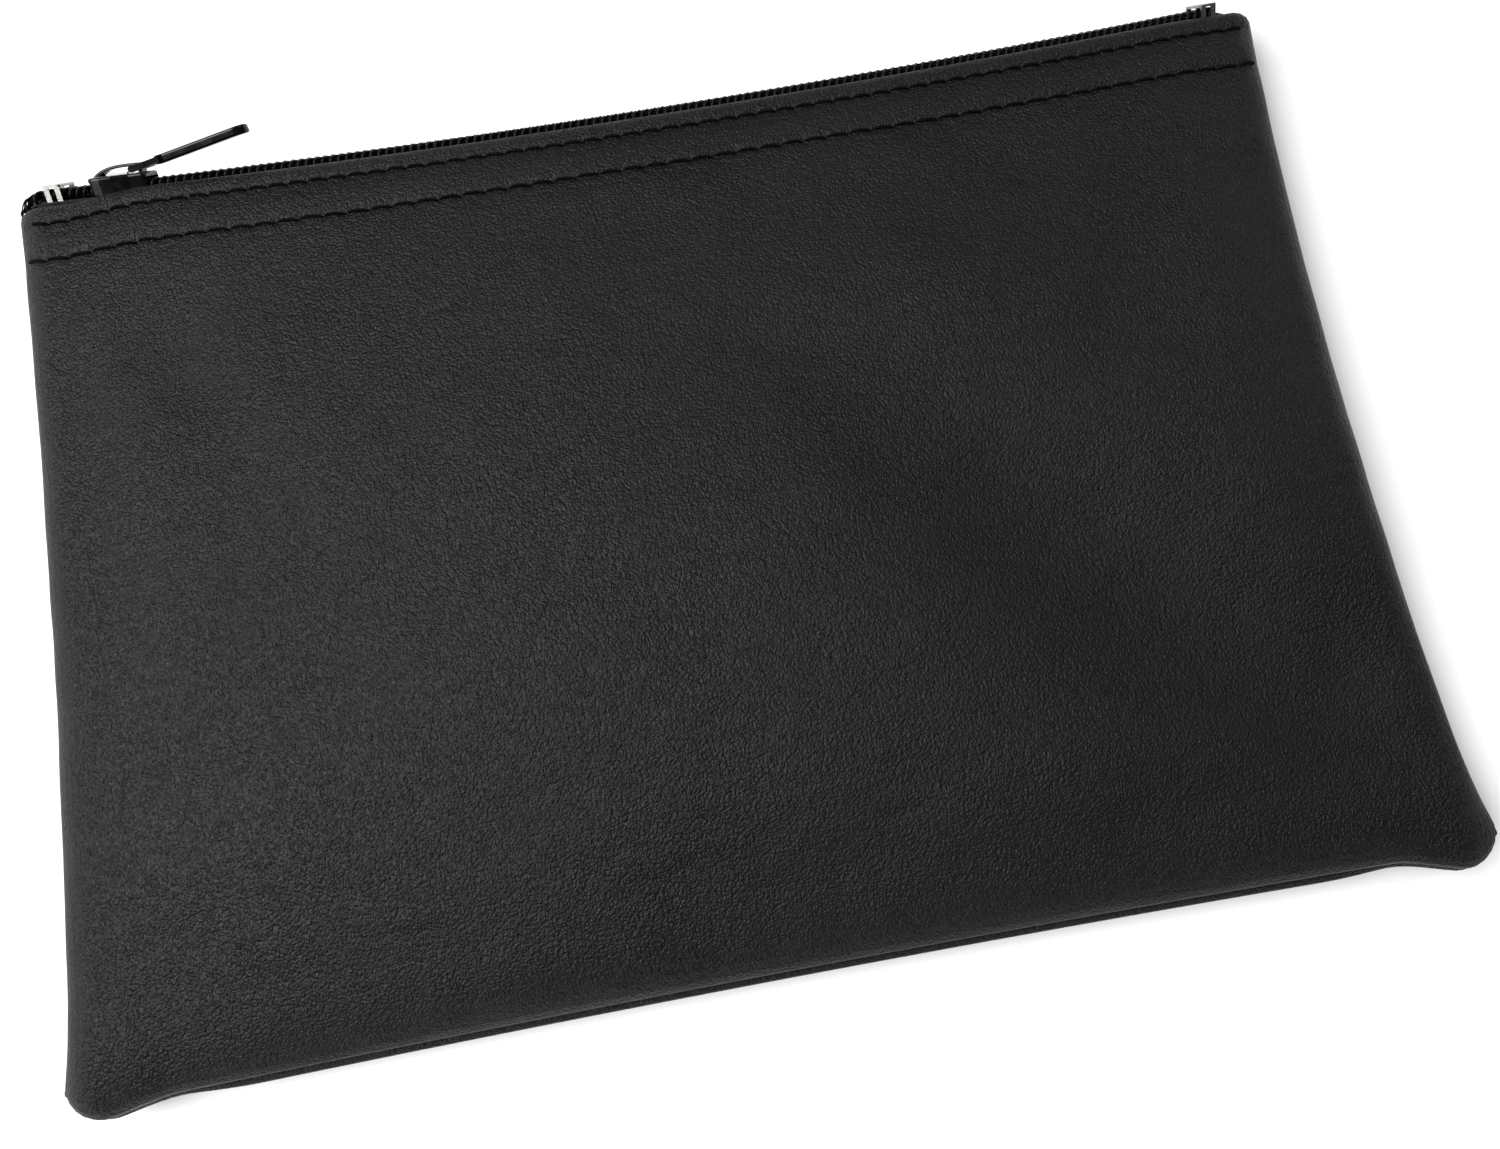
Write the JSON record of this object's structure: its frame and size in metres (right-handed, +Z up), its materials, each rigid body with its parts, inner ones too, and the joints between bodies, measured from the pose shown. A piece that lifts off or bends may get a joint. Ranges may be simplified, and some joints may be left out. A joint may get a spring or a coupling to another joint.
{
  "type": "cash deposit bag",
  "caption": "Flat zippered cash deposit bag in black leatherette, with a nylon coil zip along its top edge, a locking metal slider and a pull tab.",
  "frame": {"origin": "on the flat underside that the bag rests on, under the bag's middle", "axes": "+X along the zip from the end where the closed slider stands, +Y from the bottom seam to the zip edge, +Z up through the front panel"},
  "size_m": [0.2822, 0.1979, 0.0232],
  "materials": {
    "leatherette": "matt pebbled leatherette with a soft sheen",
    "tape": "woven polyester tape",
    "coil": "smooth nylon monofilament",
    "cord": "braided filler cord",
    "thread": "bonded thread",
    "bright_metal": "bright nickel plate",
    "black_enamel": "black gloss enamel on cast metal",
    "spring_steel": "dark spring steel"
  },
  "bodies": {
    "bag": {"front_panel": "leatherette", "back_panel": "leatherette", "zipper_tape_front": "tape", "zipper_tape_back": "tape", "coil_front": "coil", "coil_back": "coil", "coil_cord_front": "cord", "coil_cord_back": "cord", "coil_thread_front": "thread", "coil_thread_back": "thread", "front_upper_stitching": "thread", "front_lower_stitching": "thread", "back_upper_stitching": "thread", "back_lower_stitching": "thread", "side_seam_left_stitching": "thread", "side_seam_right_stitching": "thread", "bottom_seam_stitching": "thread", "end_stop_left": "bright_metal", "end_stop_right": "bright_metal"},
    "slider": {"slider_body": "black_enamel", "slider_cap": "black_enamel", "lock_pawl": "spring_steel"},
    "tab": {"pull_tab": "black_enamel"}
  },
  "joints": [
    {"name": "slider_travel", "type": "hinge", "parent": "bag", "child": "slider", "pos_m": [0, 2.792, 0.009], "axis": [0, 0, 1], "range_deg": [-0.12, 5.03], "deforming": ["coil_front", "coil_back", "coil_cord_front", "coil_cord_back", "coil_thread_front", "coil_thread_back"]},
    {"name": "pull_tab_swing", "type": "hinge", "parent": "slider", "child": "tab", "pos_m": [-0.1134, 0.09819, 0.01167], "axis": [-0.0248, -0.573, 0.8192], "range_deg": [-10, 138]}
  ]
}
